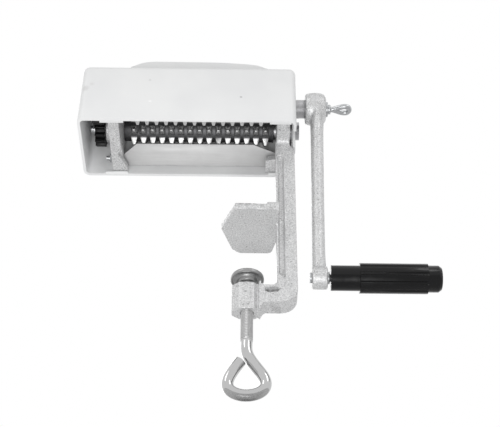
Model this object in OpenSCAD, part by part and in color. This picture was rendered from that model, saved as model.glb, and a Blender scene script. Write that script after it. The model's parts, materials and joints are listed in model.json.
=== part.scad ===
// Clamp-on, hand-cranked meat tenderizer: two interleaving toothed rollers under a white hood.
// Millimetres, +Z up, +X towards the crank, +Y towards the back. The origin is the point where the
// clamp screw's axis meets the underside of the jaw, the face that rests on the table top.

/* [Rollers] */
// Height of both roller axes above the jaw face
axis_z = 130; // [126:1:134]
// Distance between the two roller axes
axis_gap = 28; // [27.6:0.1:30]
// Number of toothed rings on the back roller; the front one has one fewer, in its gaps
ring_count = 15; // [13:1:16]
// Distance from one ring to the next
ring_pitch = 8.5; // [8:0.1:8.6]
// Radius over the tooth tips
tooth_tip_r = 15.5; // [14:0.1:15.8]
// Radius of the plain core between the rings
core_r = 10.5; // [9.5:0.1:11]
// Width of a ring at the core
ring_root_w = 5.6; // [4.6:0.1:5.8]
// Width of a ring at the tooth tips
ring_tip_w = 2; // [1.6:0.1:3]
// Teeth round each ring
teeth_per_ring = 6; // [6:1:8]
// Thickness of the smooth shaft through a roller
shaft_d = 13; // [11:0.5:15]
// Thickness of a shaft where it passes the crank-side plate
journal_d = 16.6; // [15.5:0.1:17.5]

/* [Gears] */
// Teeth on each gear
gear_teeth = 14; // [12:2:16]
// Width of each gear
gear_w = 9; // [7:0.5:10]
// Play between meshing teeth, measured on the pitch circle
gear_play = 0.7; // [0.5:0.1:0.9]

/* [Side plates] */
// Thickness of the plate at the gear end
left_plate_t = 9.5; // [8:0.5:11]
// Thickness of the plate at the crank end
right_plate_t = 11.3; // [9:0.1:11.6]
// Height of the plates' lower edge above the jaw face
plate_bottom_z = 95; // [94.6:0.1:96]
// Length of the bearing bosses on the gear side
boss_len = 7; // [5:0.5:7.5]
// Thickness of a tie rod between the plates
tie_rod_d = 8; // [6:0.5:9]

/* [Hood] */
// Room between the gears and the hood's front and back walls
side_room = 3.6; // [3.2:0.1:6]
// Height of the hood from its rim to its flat top
hood_h = 69; // [68:0.5:74]
// Height of the hood's rim above the jaw face
hood_rim_z = 93; // [92:0.5:94]
// Wall of the hood
hood_wall = 2.5; // [2:0.1:2.8]
// Depth of the feed throat, front to back
throat_depth = 36; // [30:1:40]
// Height of the feed throat above the flat top
throat_h = 25; // [15:1:35]

/* [Guide plates] */
// Thickness of the sloping guide plates under the rollers
guide_t = 1.8; // [1.2:0.1:2.2]
// Height by which a guide plate drops from the rollers to the hood's wall
guide_drop = 10; // [8:0.5:11]

/* [Clamp frame] */
// Depth of the arm, front to back
arm_depth = 16; // [14:0.5:18]
// Width of the arm
arm_w = 16.6; // [14:0.2:17.4]
// Distance from the clamp screw's axis to the arm
arm_reach = 23.6; // [22:0.2:24]
// Thickness of the web between the arm's ribs
web_t = 10; // [6:0.5:12]
// Distance from the jaw face down to the top of the screw boss
boss_drop = 59.7; // [50:0.5:70]
// Height of the screw boss
boss_h = 26; // [20:1:30]
// Width of the screw boss
boss_w = 24.4; // [22:0.2:28]
// Thickness of the jaw plate
jaw_t = 6; // [4:0.5:8]
// Distance from the screw's axis to the jaw's point
jaw_point = 22.2; // [18:0.2:28]
// Half of the jaw's depth, front to back
jaw_half_depth = 28; // [22:0.5:32]

/* [Clamp screw] */
// Thickness of the clamp screw's thread
screw_d = 9.8; // [8:0.1:11]
// Thickness of the smooth wire of the screw's loop handle
loop_wire_d = 9.2; // [7:0.1:9.6]
// Distance from the jaw face down to the lowest point of the loop's wire
loop_bottom = 165.4; // [160:0.2:190]
// Distance from the jaw face down to the pad with the screw backed off
clamp_opening = 50; // [45:0.5:51]
// Radius of the swivelling pad
pad_r = 13.5; // [11:0.5:16]

/* [Crank] */
// Distance from the shaft to the grip
crank_throw = 190.4; // [150:1:220]
// Radius of the crank's hub
hub_r = 14.8; // [13:0.2:17]
// Length of the crank's hub along the shaft
hub_len = 18.4; // [16:0.2:22]
// Radius of the boss that holds the grip's pin
grip_boss_r = 9.3; // [8:0.1:11]
// Length of the grip
grip_len = 87.6; // [70:1:110]
// Radius of the grip's fluted part
grip_r = 12.1; // [11:0.1:14]
// Flutes round the grip
flute_count = 10; // [8:1:14]

/* [Hidden] */
$fn = 48;

fit = 0.03;               // between pieces pressed or screwed together
running = 0.08;           // round a turning shaft
side_play = 0.4;          // beside a turning piece
seat = 0.1;               // between pieces that rest on each other

// places along X, from the crank end to the gear end
rollers_mid_x = -44.25;
back_len = ring_count * ring_pitch;
right_plate_x = 24.7;
right_plate_end = right_plate_x + right_plate_t;
left_plate_end = rollers_mid_x - 68.75;
left_plate_x = left_plate_end - left_plate_t;
inner_len = right_plate_x - left_plate_end;
crank_room = 5.4;         // from the crank-side plate to the hood's outer face
boss_x = left_plate_x - boss_len;
gear_x = boss_x - side_play - gear_w;
gear_room = 9.7;          // from the gears to the hood's outer face
hood_end = right_plate_end + crank_room;
hood_x = gear_x - gear_room;
hood_l = hood_end - hood_x;
shaft_left = gear_x - 0.6;
hub_x = hood_end + 8.9;
washer_t = 1.6;

gear_module = axis_gap / gear_teeth;
pitch_r = axis_gap / 2;
gear_tip_r = pitch_r + 0.95 * gear_module;
gear_root_r = pitch_r - 1.25 * gear_module;
gear_base_r = pitch_r * cos(20);

// heights and depths
hood_depth = 2 * (pitch_r + gear_tip_r + side_room + hood_wall);
plate_room = 1.5;         // between a side plate's edge and the hood's wall
plate_depth = hood_depth - 2 * (hood_wall + plate_room);
hood_top = hood_rim_z + hood_h;
plate_top = hood_top - hood_wall - seat;
bush_wall = 1.5;
bearing_r = 11.5;
tie_y = plate_depth / 2 - 7.5;
tie_z = plate_top - 9.4;
guide_top_y = axis_gap / 2 + 0.8;
guide_end_y = hood_depth / 2 - hood_wall - seat - 0.55 * guide_t;
guide_top_z = axis_z - tooth_tip_r - 1.6;
guide_end_z = guide_top_z - guide_drop;
guide_run = guide_end_y - guide_top_y;
guide_len = sqrt(guide_run * guide_run + guide_drop * guide_drop);
guide_tilt = atan2(guide_drop, guide_run);
foot_h = 6;
stud_d = 4;
stud_y = plate_depth / 2 - 3.4;
stud_z = guide_under(stud_y) + 2.7;
lug_t = 3;
throat_x0 = rollers_mid_x - back_len / 2 - 0.8;
throat_x1 = rollers_mid_x + back_len / 2 - 1;

// height of a guide plate's underside at the distance y from the middle
function guide_under(y) = guide_end_z + (guide_end_y - y) * guide_drop / guide_run;

gear_seat_d = 8.4;
gear_screw_r = 2.5;
crank_square = 10;
roller_right = right_plate_x - 2.3;

// points of an arc about (cx, cy), both ends included
function arc(cx, cy, r, a0, a1, steps = 8) =
    [for (i = [0 : steps]) let (a = a0 + (a1 - a0) * i / steps) [cx + r * cos(a), cy + r * sin(a)]];

// angle by which an involute has swept when it reaches radius r
function involute_sweep(r) =
    let (t = sqrt(max(0, pow(r / gear_base_r, 2) - 1))) t * 180 / PI - atan(t);

// half the angle that a gear tooth fills at radius r
function tooth_half(r) =
    90 / gear_teeth - gear_play / 2 / pitch_r * 180 / PI / 2 + involute_sweep(pitch_r) - involute_sweep(r);

// lays what is drawn along Z so that it runs along +X from the given x
module along_x(x, y = 0, z = 0) {
    translate([x, y, z]) rotate([90, 0, 90]) children();
}

module rod_x(x, len, r, y = 0, z = 0) {
    along_x(x, y, z) cylinder(r = r, h = len);
}

// extrudes an outline drawn in (x, z) from y0 over a depth
module along_y(y0, depth) {
    translate([0, y0 + depth, 0]) rotate([90, 0, 0]) linear_extrude(depth) children();
}

module hex_nut(x, y, z, across, t, bore_r) {
    difference() {
        along_x(x, y, z) cylinder(r = across / sqrt(3), h = t, $fn = 6);
        rod_x(x - 1, t + 2, bore_r, y, z);
    }
}

module ring_washer(x, y, z, r, t, bore_r) {
    difference() {
        rod_x(x, t, r, y, z);
        rod_x(x - 1, t + 2, bore_r, y, z);
    }
}

// ---------------------------------------------------------------- hood

module rounded_block(size, r) {
    hull()
        for (x = [r, size[0] - r], y = [r, size[1] - r]) {
            translate([x, y, size[2] - r]) sphere(r, $fn = 32);
            translate([x, y, 0]) cylinder(r = r, h = size[2] - r, $fn = 32);
        }
}

// outline of the feed throat in (x, z), with its sloping shoulders
module throat_outline() {
    foot_z = hood_top - hood_wall;
    top = hood_top + throat_h;
    polygon([[throat_x0, foot_z], [throat_x0, top - 6], [throat_x0 + 14.5, top], [throat_x1 - 44, top - 0.5],
        [throat_x1 - 12.7, top - 3], [throat_x1, top - 7.6], [throat_x1, foot_z]]);
}

// slot in the hood's crank-side wall, open at the rim, so that the hood lifts off past a shaft
module shaft_slot(y) {
    r = journal_d / 2 + 0.8;
    rod_x(hood_end - 8, 16, r, y, axis_z);
    translate([hood_end - 8, y - r, hood_rim_z - 1]) cube([16, 2 * r, axis_z - hood_rim_z + 1]);
}

// ledges inside the rim, front and back, that snap under the lower edges of the side plates
module hood_ledges() {
    reach = plate_room + 0.7;
    past = 4.5;
    inner = hood_depth / 2 - hood_wall;
    top = plate_bottom_z - 0.4;
    for (s = [0, 1], span = [[left_plate_x - 6.5, left_plate_end + past], [right_plate_x - 6.4, right_plate_end + 1]])
        mirror([0, s, 0]) translate([span[0], inner - reach, hood_rim_z])
            cube([span[1] - span[0], reach + hood_wall / 2, top - hood_rim_z]);
}

module hood() {
    corner_r = 6;
    front = -hood_depth / 2;
    color("white") difference() {
        union() {
            difference() {
                translate([hood_x, front, hood_rim_z]) rounded_block([hood_l, hood_depth, hood_h], corner_r);
                translate([hood_x + hood_wall, front + hood_wall, hood_rim_z - 1])
                    rounded_block([hood_l - 2 * hood_wall, hood_depth - 2 * hood_wall, hood_h - hood_wall + 1],
                        corner_r - hood_wall);
            }
            along_y(-throat_depth / 2, throat_depth) throat_outline();
            hood_ledges();
        }
        translate([throat_x0 + hood_wall, -throat_depth / 2 + hood_wall, hood_top - 10])
            cube([throat_x1 - throat_x0 - 2 * hood_wall, throat_depth - 2 * hood_wall, throat_h + 20]);
        for (s = [-1, 1])
            shaft_slot(s * axis_gap / 2);
    }
}

// ---------------------------------------------------------------- side plates and clamp frame

// outline of a side plate in (y, z)
module plate_outline() {
    h = plate_depth / 2;
    polygon([[-h, plate_bottom_z], [h, plate_bottom_z], [h, plate_bottom_z + 6], [h - 1, plate_top - 12],
        [h - 10, plate_top], [-h + 10, plate_top], [-h + 1, plate_top - 12], [-h, plate_bottom_z + 6]]);
}

// bores of a side plate for the two bushes and the two guide studs
module plate_bores(x, t, bush_r) {
    for (y = [-1, 1]) {
        rod_x(x - 20, t + 40, bush_r + fit, y * axis_gap / 2, axis_z);
        rod_x(x - 20, t + 40, stud_d / 2 + fit, y * stud_y, stud_z);
    }
}

// a low foot that reaches inwards from a side plate at the back, drawn in (x, y)
module foot() {
    translate([0, 0, plate_bottom_z]) linear_extrude(foot_h) children();
}

module gear_end_plate() {
    edge_y = plate_depth / 2;
    foot_depth = 14.2;
    foot_y = edge_y - foot_depth;
    color("silver") difference() {
        union() {
            along_x(left_plate_x) linear_extrude(left_plate_t) plate_outline();
            for (y = [-1, 1])
                rod_x(boss_x, boss_len + 1, bearing_r, y * axis_gap / 2, axis_z);
            foot() polygon([[left_plate_end - 1, foot_y], [left_plate_end, foot_y], [left_plate_end + 4, edge_y - 4.5],
                [left_plate_end + 4.5, edge_y], [left_plate_end - 1, edge_y]]);
        }
        // the foot's slanting side runs on into the plate as a notch
        translate([0, 0, -1]) foot() polygon([[left_plate_end + 0.1, foot_y - 14], [left_plate_end + 0.1, foot_y],
            [left_plate_end, foot_y], [left_plate_end - 3, foot_y - 7.3], [left_plate_end, foot_y - 14]]);
        plate_bores(left_plate_x, left_plate_t, shaft_d / 2 + bush_wall);
        for (y = [-1, 1])
            rod_x(left_plate_x - 1, left_plate_t + 2, tie_rod_d / 2 + fit, y * tie_y, tie_z);
    }
}

// outline of the arm and its lower bend in (x, z)
module arm_outline() {
    arm_end = arm_reach + arm_w;
    bottom = -boss_drop - boss_h;
    bend_r = 13;
    polygon(concat([[arm_reach, plate_bottom_z + 1], [right_plate_end, plate_bottom_z + 1],
        [right_plate_end, hood_rim_z - 1], [arm_end, hood_rim_z - 8]],
        arc(arm_end - bend_r, bottom + bend_r, bend_r, 0, -90),
        [[boss_w / 2 - 3, bottom], [boss_w / 2 - 3, -boss_drop + 1]],
        arc(arm_reach - 5, -boss_drop + 8.2, 5, 270, 360)));
}

module arm_pockets() {
    rib = 1.7;
    pocket_w = 5;
    depth = (arm_depth - web_t) / 2;
    bottom = -boss_drop - boss_h;
    for (y = [-arm_depth / 2 - 1, arm_depth / 2 - depth])
        along_y(y, depth + 1) {
            polygon(concat([[arm_reach + rib, 76]], [[arm_reach + rib, -boss_drop + 9]],
                [[arm_reach + rib + pocket_w, -boss_drop + 3]],
                arc(arm_reach + rib + pocket_w / 2, 76, pocket_w / 2, 0, 180)));
            polygon([[boss_w / 2 - 1, -boss_drop - 3], [arm_reach + 1.5, -boss_drop - 3],
                [arm_reach + 4, bottom + 17], [arm_reach - 2, bottom + 14.5], [boss_w / 2 + 3, bottom + 14.5]]);
        }
}

module jaw_plate() {
    d = jaw_half_depth;
    join_x = arm_reach + 2;
    linear_extrude(jaw_t)
        polygon([[-jaw_point, -1], [-jaw_point + 12, -d], [join_x, -d + 1.5], [join_x, 6],
            [arm_reach + 0.2, d - 11], [arm_reach - 3, d + 1], [-7, d + 1], [-jaw_point + 9, d - 2]]);
    translate([arm_reach - 8, -d + 1.5, jaw_t - 1]) cube([10, 12, 3.5]);
}

module boss_outline() {
    w = boss_w / 2;
    d = arm_depth / 2;
    cut_x = boss_w / 4;
    cut_y = 0.3 * arm_depth;
    polygon([[-w, -d + cut_y], [-w + cut_x, -d], [w - cut_x - 1, -d], [w, -d + 1.4 * cut_y],
        [w, d - cut_y], [w - cut_x, d], [-w + cut_x, d], [-w, d - cut_y]]);
}

module clamp_frame() {
    root_r = 5;
    foot_depth = 17;
    foot_y = plate_depth / 2 - foot_depth;
    foot_reach = 9.4;
    color("gainsboro") difference() {
        union() {
            along_x(right_plate_x) linear_extrude(right_plate_t) plate_outline();
            foot() polygon([[right_plate_x + 1, foot_y], [right_plate_x, foot_y], [right_plate_x - foot_reach, foot_y + 2],
                [right_plate_x - foot_reach, plate_depth / 2], [right_plate_x + 1, plate_depth / 2]]);
            difference() {
                along_y(-arm_depth / 2, arm_depth) arm_outline();
                arm_pockets();
            }
            // roots that blend the arm into the plate's lower edge, front and back
            difference() {
                translate([right_plate_x, -arm_depth / 2 - root_r, plate_bottom_z - root_r])
                    cube([right_plate_t, arm_depth + 2 * root_r, root_r + 1]);
                for (s = [-1, 1])
                    rod_x(right_plate_x - 1, right_plate_t + 2, root_r, s * (arm_depth / 2 + root_r),
                        plate_bottom_z - root_r);
            }
            jaw_plate();
            translate([0, 0, -boss_drop - boss_h]) linear_extrude(boss_h) boss_outline();
        }
        plate_bores(right_plate_x, right_plate_t, journal_d / 2 + bush_wall);
        for (y = [-1, 1])
            rod_x(right_plate_x - 1, 8, tie_rod_d / 2 + fit, y * tie_y, tie_z);
        translate([0, 0, -boss_drop - boss_h - 1]) cylinder(r = screw_d / 2 + running, h = boss_h + 2);
    }
}

// ---------------------------------------------------------------- what joins the plates

module tie_rod(s) {
    color("lightgray") rod_x(boss_x - 2, right_plate_x + 7 - boss_x + 2 - 0.5, tie_rod_d / 2, s * tie_y, tie_z);
}

module tie_washer(s) {
    color("lightgray") ring_washer(left_plate_x - washer_t, s * tie_y, tie_z, 0.95 * tie_rod_d, washer_t,
        tie_rod_d / 2 + fit);
}

module tie_nut(s) {
    t = 5;
    color("lightgray") hex_nut(left_plate_x - washer_t - t, s * tie_y, tie_z, 1.6 * tie_rod_d, t,
        tie_rod_d / 2 + fit);
}

// one stripper finger in (x, z), standing between two rings on the comb's low bar
module finger_outline(bar_z, tip_z) {
    w = ring_pitch / 2;
    base = (ring_pitch - ring_tip_w) / 2 - 0.55;
    tip = (ring_pitch - ring_root_w) / 2 - 0.5;
    polygon([[-w, 0], [w, 0], [w, bar_z], [base, bar_z], [tip, tip_z], [-tip, tip_z], [-base, bar_z], [-w, bar_z]]);
}

// a comb of stripper fingers that stands on a guide plate behind the roller's lowest line
module comb(s, rings) {
    comb_y = 6;
    comb_t = 1.5;
    near = comb_y - comb_t / 2;
    foot_z = guide_under(axis_gap / 2 + comb_y) + 0.8;
    bar_z = axis_z - sqrt(pow(tooth_tip_r + 0.8, 2) - near * near) - foot_z;
    tip_z = axis_z - sqrt(pow(core_r + 0.6, 2) - near * near) - foot_z;
    first = rollers_mid_x - rings * ring_pitch / 2;
    for (i = [0 : rings])
        let (x = first + i * ring_pitch)
            if (x - ring_pitch / 2 > left_plate_end + 1 && x + ring_pitch / 2 < right_plate_x - 1)
                translate([x, 0, foot_z])
                    along_y(s * (axis_gap / 2 + comb_y) - comb_t / 2, comb_t) finger_outline(bar_z, tip_z);
}

// A sloping plate that rises from the hood's wall to just under a roller. It carries a comb of
// stripper fingers and has a lug at each end, by which it is screwed to the side plates.
module guide_plate(s, rings) {
    inset = 0.2;
    len = inner_len - 2 * inset;
    cut_left = 11.6;
    cut_right = 20;
    cut_depth = 10;
    x0 = left_plate_end + inset;
    lug_front = stud_y - 4;
    lug_back = guide_end_y - 0.1;
    lug_top = stud_z + 5.5;
    difference() {
        union() {
            translate([x0, s * guide_end_y, guide_end_z]) mirror([0, s < 0 ? 1 : 0, 0])
                rotate([-guide_tilt, 0, 0]) translate([0, -guide_len, 0]) linear_extrude(guide_t)
                    polygon([[0, guide_len], [0, cut_depth], [cut_left, 0], [len - cut_right, 0],
                        [len, 0.76 * cut_depth], [len, guide_len]]);
            comb(s, rings);
            for (x = [x0, x0 + len - lug_t])
                along_x(x) linear_extrude(lug_t)
                    polygon([for (p = [[lug_front, guide_under(lug_front) + 0.6], [lug_back, guide_under(lug_back) + 0.6],
                        [lug_back, lug_top - 3], [lug_back - 3, lug_top], [lug_front, lug_top]]) [s * p[0], p[1]]]);
        }
        for (x = [x0 - 1, x0 + len - lug_t - 1])
            rod_x(x, lug_t + 2, stud_d / 2 + fit, s * stud_y, stud_z);
    }
}

// studs hold the lugs at the gear end, with a nut outside the plate
module guide_stud(s) {
    x0 = left_plate_x - 6.5;
    color("silver") rod_x(x0, left_plate_end + lug_t + 0.7 - x0, stud_d / 2, s * stud_y, stud_z);
}

module guide_nut(s) {
    t = 3;
    color("dimgray") hex_nut(left_plate_x - t, s * stud_y, stud_z, 1.75 * stud_d, t, stud_d / 2 + fit);
}

// screws hold the lugs at the crank end
module guide_screw(s) {
    x0 = right_plate_x - lug_t - 0.7;
    color("silver") rod_x(x0, right_plate_end - 1 - x0, stud_d / 2, s * stud_y, stud_z);
}

module bush(x, len, bore_r, outer_r, s) {
    color("goldenrod") difference() {
        rod_x(x, len, outer_r, s * axis_gap / 2, axis_z);
        rod_x(x - 1, len + 2, bore_r, s * axis_gap / 2, axis_z);
    }
}

module gear_bush(s) {
    bush(boss_x, boss_len + left_plate_t, shaft_d / 2 + running, shaft_d / 2 + bush_wall, s);
}

module crank_bush(s) {
    bush(right_plate_x, right_plate_t, journal_d / 2 + running, journal_d / 2 + bush_wall, s);
}

// ---------------------------------------------------------------- shafts and rollers

// the shafts' gear ends are round with one flat, which turns the gear
module gear_seat_outline(grow) {
    intersection() {
        circle(r = gear_seat_d / 2 + grow);
        translate([-gear_seat_d, -gear_seat_d])
            square([2 * gear_seat_d, 1.5 * gear_seat_d - 1.5 + grow]);
    }
}

// a shaft from the gear seat to the right end of its journal
module shaft_body(s, journal_end) {
    gear_end = boss_x - side_play / 2;
    y = s * axis_gap / 2;
    along_x(shaft_left + 0.6, y, axis_z) linear_extrude(gear_end - shaft_left - 0.6) gear_seat_outline(0);
    rod_x(gear_end, roller_right + seat - gear_end, shaft_d / 2, y, axis_z);
    rod_x(roller_right + seat, journal_end - roller_right - seat, journal_d / 2, y, axis_z);
}

module gear_screw_bore(s) {
    rod_x(shaft_left - 1, 15, gear_screw_r + fit, s * axis_gap / 2, axis_z);
}

module front_shaft() {
    eye_bore = 3;
    color("silver") difference() {
        union() {
            shaft_body(-1, hub_x - seat / 2);
            translate([hub_x - 1, -axis_gap / 2 - crank_square / 2, axis_z - crank_square / 2])
                cube([hub_len, crank_square, crank_square]);
        }
        gear_screw_bore(-1);
        rod_x(hub_x, hub_len + 1, eye_bore + fit, -axis_gap / 2, axis_z);
    }
}

module back_shaft() {
    color("silver") difference() {
        shaft_body(1, hood_end + 4.4);
        gear_screw_bore(1);
    }
}

// star outline of the teeth round a ring, whose valleys lie just inside the core
module tooth_star(turn) {
    step = 360 / teeth_per_ring;
    polygon([for (i = [0 : teeth_per_ring - 1], k = [0, 1])
        let (a = turn + i * step + k * step / 2, r = k == 0 ? tooth_tip_r + 0.3 : core_r - 0.5)
        [r * cos(a), r * sin(a)]]);
}

// all rings of a roller turned as one profile: radius against the distance along the roller
module ring_profile(count, first) {
    root_r = core_r - 1;
    flare = (ring_root_w - ring_tip_w) / 2 / (tooth_tip_r - core_r);
    root_half = ring_root_w / 2 + flare;
    for (i = [0 : count - 1])
        let (c = first + i * ring_pitch)
            polygon([[root_r, c - root_half], [tooth_tip_r, c - ring_tip_w / 2],
                [tooth_tip_r, c + ring_tip_w / 2], [root_r, c + root_half]]);
}

// a roller's core with its rings of teeth, bored for the shaft
module roller(s, count, turn) {
    x0 = left_plate_end + side_play;
    len = roller_right - x0;
    mid = rollers_mid_x - x0;
    first = mid - (count - 1) * ring_pitch / 2;
    along_x(x0, s * axis_gap / 2, axis_z) difference() {
        union() {
            cylinder(r = core_r, h = len);
            intersection() {
                rotate_extrude() ring_profile(count, first);
                linear_extrude(len) tooth_star(turn);
            }
        }
        translate([0, 0, -1]) cylinder(r = shaft_d / 2 + fit, h = len + 2);
    }
}

module front_roller() {
    color("gray") roller(-1, ring_count - 1, -49);
}

module back_roller() {
    color("gray") roller(1, ring_count, -135);
}

// ---------------------------------------------------------------- gears

// one tooth's outline from its root to its tip, about the angle a
function gear_tooth(a) = concat(
    [for (r = [gear_root_r, gear_base_r, pitch_r, gear_tip_r]) let (h = tooth_half(max(r, gear_base_r)))
        [r * cos(a - h), r * sin(a - h)]],
    [for (r = [gear_tip_r, pitch_r, gear_base_r, gear_root_r]) let (h = tooth_half(max(r, gear_base_r)))
        [r * cos(a + h), r * sin(a + h)]]);

module gear(s, turn) {
    color("#202020") along_x(gear_x, s * axis_gap / 2, axis_z) difference() {
        linear_extrude(gear_w)
            polygon([for (i = [0 : gear_teeth - 1]) each gear_tooth(turn + i * 360 / gear_teeth)]);
        translate([0, 0, -1]) linear_extrude(gear_w + 2) gear_seat_outline(fit);
    }
}

module front_gear() {
    gear(-1, 0);
}

module back_gear() {
    gear(1, 180 / gear_teeth);
}

module gear_washer(s) {
    color("lightgray") ring_washer(gear_x - washer_t, s * axis_gap / 2, axis_z, gear_seat_d / 2 + 1.5,
        washer_t - seat / 2, gear_screw_r + fit);
}

module gear_screw(s) {
    head_t = 3;
    y = s * axis_gap / 2;
    color("lightgray") {
        rod_x(gear_x - washer_t - head_t, head_t, 3.5, y, axis_z);
        rod_x(gear_x - washer_t, 12, gear_screw_r, y, axis_z);
    }
}

// ---------------------------------------------------------------- crank

crank_y = -axis_gap / 2;
grip_z = axis_z - crank_throw;
hub_mid_x = hub_x + hub_len / 2;
grip_boss_x = hub_x + 0.9;
grip_boss_len = 12.1;
pin_r = 3;
grip_x = grip_boss_x + grip_boss_len + 2.5;

// outline of the crank in (x, z), seen from the front
module crank_web() {
    polygon([[hub_x + 3.6, axis_z], [hub_x + 4.2, axis_z - 30], [hub_x + 2, grip_z + 20],
        [grip_boss_x + 0.6, grip_z], [grip_boss_x + grip_boss_len - 0.6, grip_z], [hub_x + 11.6, grip_z + 20],
        [hub_x + 15.2, axis_z - 30], [hub_x + 16.4, axis_z - 12], [hub_x + 16.4, axis_z]]);
}

// outline of the crank in (y, z), seen from the side
module crank_side() {
    root_w = 11.2;
    neck_w = 6.5;
    foot_w = 5;
    taper = 26;
    blend = 12;
    polygon([[-root_w, axis_z], [-root_w, axis_z - 6], [-neck_w, axis_z - taper], [-foot_w, grip_z + 2 * blend],
        [-neck_w, grip_z + blend], [-neck_w, grip_z], [neck_w, grip_z], [neck_w, grip_z + blend],
        [foot_w, grip_z + 2 * blend], [neck_w, axis_z - taper], [root_w, axis_z - 6], [root_w, axis_z]]);
}

// lens-shaped section of the crank, with a ridge at the front and at the back
module crank_section() {
    side_r = 14.5;
    half_w = 6.2;
    intersection_for (s = [-1, 1])
        translate([s * (side_r - half_w), 0]) circle(side_r, $fn = 96);
}

module crank_arm() {
    end_t = 2;
    lean = 0.9;
    color("silver") difference() {
        union() {
            rod_x(hub_x, hub_len - end_t, hub_r, crank_y, axis_z);
            along_x(hub_x + hub_len - end_t, crank_y, axis_z) cylinder(r1 = hub_r, r2 = 0.6 * hub_r, h = end_t);
            intersection() {
                along_y(crank_y - 20, 40) crank_web();
                along_x(hub_x - 1, crank_y) linear_extrude(hub_len + 2) crank_side();
                translate([hub_x + 10, crank_y, axis_z]) rotate([0, lean, 0]) translate([0, 0, -crank_throw - 1])
                    linear_extrude(crank_throw + 1) crank_section();
            }
            rod_x(grip_boss_x, grip_boss_len, grip_boss_r, crank_y, grip_z);
        }
        translate([hub_x - 1, crank_y - crank_square / 2 - fit, axis_z - crank_square / 2 - fit])
            cube([hub_len + 2, crank_square + 2 * fit, crank_square + 2 * fit]);
        rod_x(grip_boss_x - 1, grip_boss_len + 2, pin_r + fit, crank_y, grip_z);
    }
}

module crank_washer() {
    color("lightgray") ring_washer(hub_x + hub_len, crank_y, axis_z, 6.8, 1.8, 3 + fit);
}

// wire bent into an eye, with a short shank screwed into the shaft's end
module eye_screw() {
    wire_r = 1.9;
    shank_r = 3;
    eye_r = 4.4;
    x0 = hub_x + hub_len + 1.8;
    neck = 6;
    eye_x = x0 + neck + 8.4;
    spread = 26;
    flank = 9.2;
    color("silver") translate([0, crank_y, axis_z]) {
        rod_x(x0 - 12, 12, shank_r);
        rod_x(x0, 2.6, 4.6);
        rotate([40, 0, 0]) {
            rod_x(x0 + 2.6, neck - 2.6, 2.8);
            translate([eye_x, 0, 0]) {
                rotate([0, 0, -90 - spread]) rotate_extrude(angle = 180 + 2 * spread)
                    translate([eye_r, 0]) circle(wire_r, $fn = 24);
                for (s = [-1, 1])
                    rotate([0, 0, s * (90 + spread)]) translate([eye_r, 0, 0])
                        rotate([s * -90, 0, 0]) cylinder(r = wire_r, h = flank, $fn = 24);
            }
        }
    }
}

module grip_pin() {
    head_r = 4.2;
    head_t = 1.8;
    washer_r = 5;
    len = grip_x + grip_len - 5 - grip_boss_x;
    color("silver") {
        rod_x(grip_boss_x, len, pin_r, crank_y, grip_z);
        rod_x(grip_boss_x - head_t, head_t, head_r, crank_y, grip_z);
        rod_x(grip_boss_x + grip_boss_len, 1.6, washer_r, crank_y, grip_z);
    }
}

module grip() {
    sleeve_r = grip_r - 2;
    cap_r = grip_r - 1.4;
    sleeve_len = grip_len * 0.26;
    cap_len = 11;
    body_len = grip_len - sleeve_len - cap_len;
    flute_r = 1.5;
    color("#151515") difference() {
        union() {
            rod_x(grip_x, sleeve_len + 0.5, sleeve_r, crank_y, grip_z);
            rod_x(grip_x + sleeve_len, body_len, grip_r, crank_y, grip_z);
            rod_x(grip_x + sleeve_len + body_len, cap_len - 2.5, cap_r, crank_y, grip_z);
            along_x(grip_x + grip_len - 2.5, crank_y, grip_z) cylinder(r1 = cap_r, r2 = cap_r - 1.8, h = 2.5);
        }
        rod_x(grip_x - 1, grip_len - 2.6, pin_r + running, crank_y, grip_z);
        for (i = [0 : flute_count - 1])
            translate([0, crank_y, grip_z]) rotate([i * 360 / flute_count, 0, 0])
                rod_x(grip_x + sleeve_len - 1, body_len + 2, flute_r, 0, grip_r + 0.5);
    }
}

// ---------------------------------------------------------------- clamp screw and pad

pad_top = -clamp_opening;
pad_plate_t = 2.4;
pad_rim = 5.5;
pad_hub_r = 7.5;
neck_r = 3;
pad_bottom = pad_top - 7;

// A piece of the loop's wire bent round (x, z) in the XZ plane, from angle a0 to a1. A slim piece is
// a hair thinner and reaches a little into its two neighbours, so that the wire is one solid.
module wire_arc(x, z, r, a0, a1, slim = false) {
    reach = slim ? 17 / r : 0;
    translate([x, 0, z]) rotate([90, 0, 0]) rotate([0, 0, a0 - reach])
        rotate_extrude(angle = a1 - a0 + 2 * reach) translate([r, 0])
            circle(loop_wire_d / 2 - (slim ? 0.02 : 0), $fn = 32);
}

// a straight piece of the wire from (x, z), heading along the angle a
module wire_run(x, z, a, len) {
    translate([x, 0, z]) rotate([0, 90 - a, 0]) cylinder(r = loop_wire_d / 2, h = len, $fn = 32);
}

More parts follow.
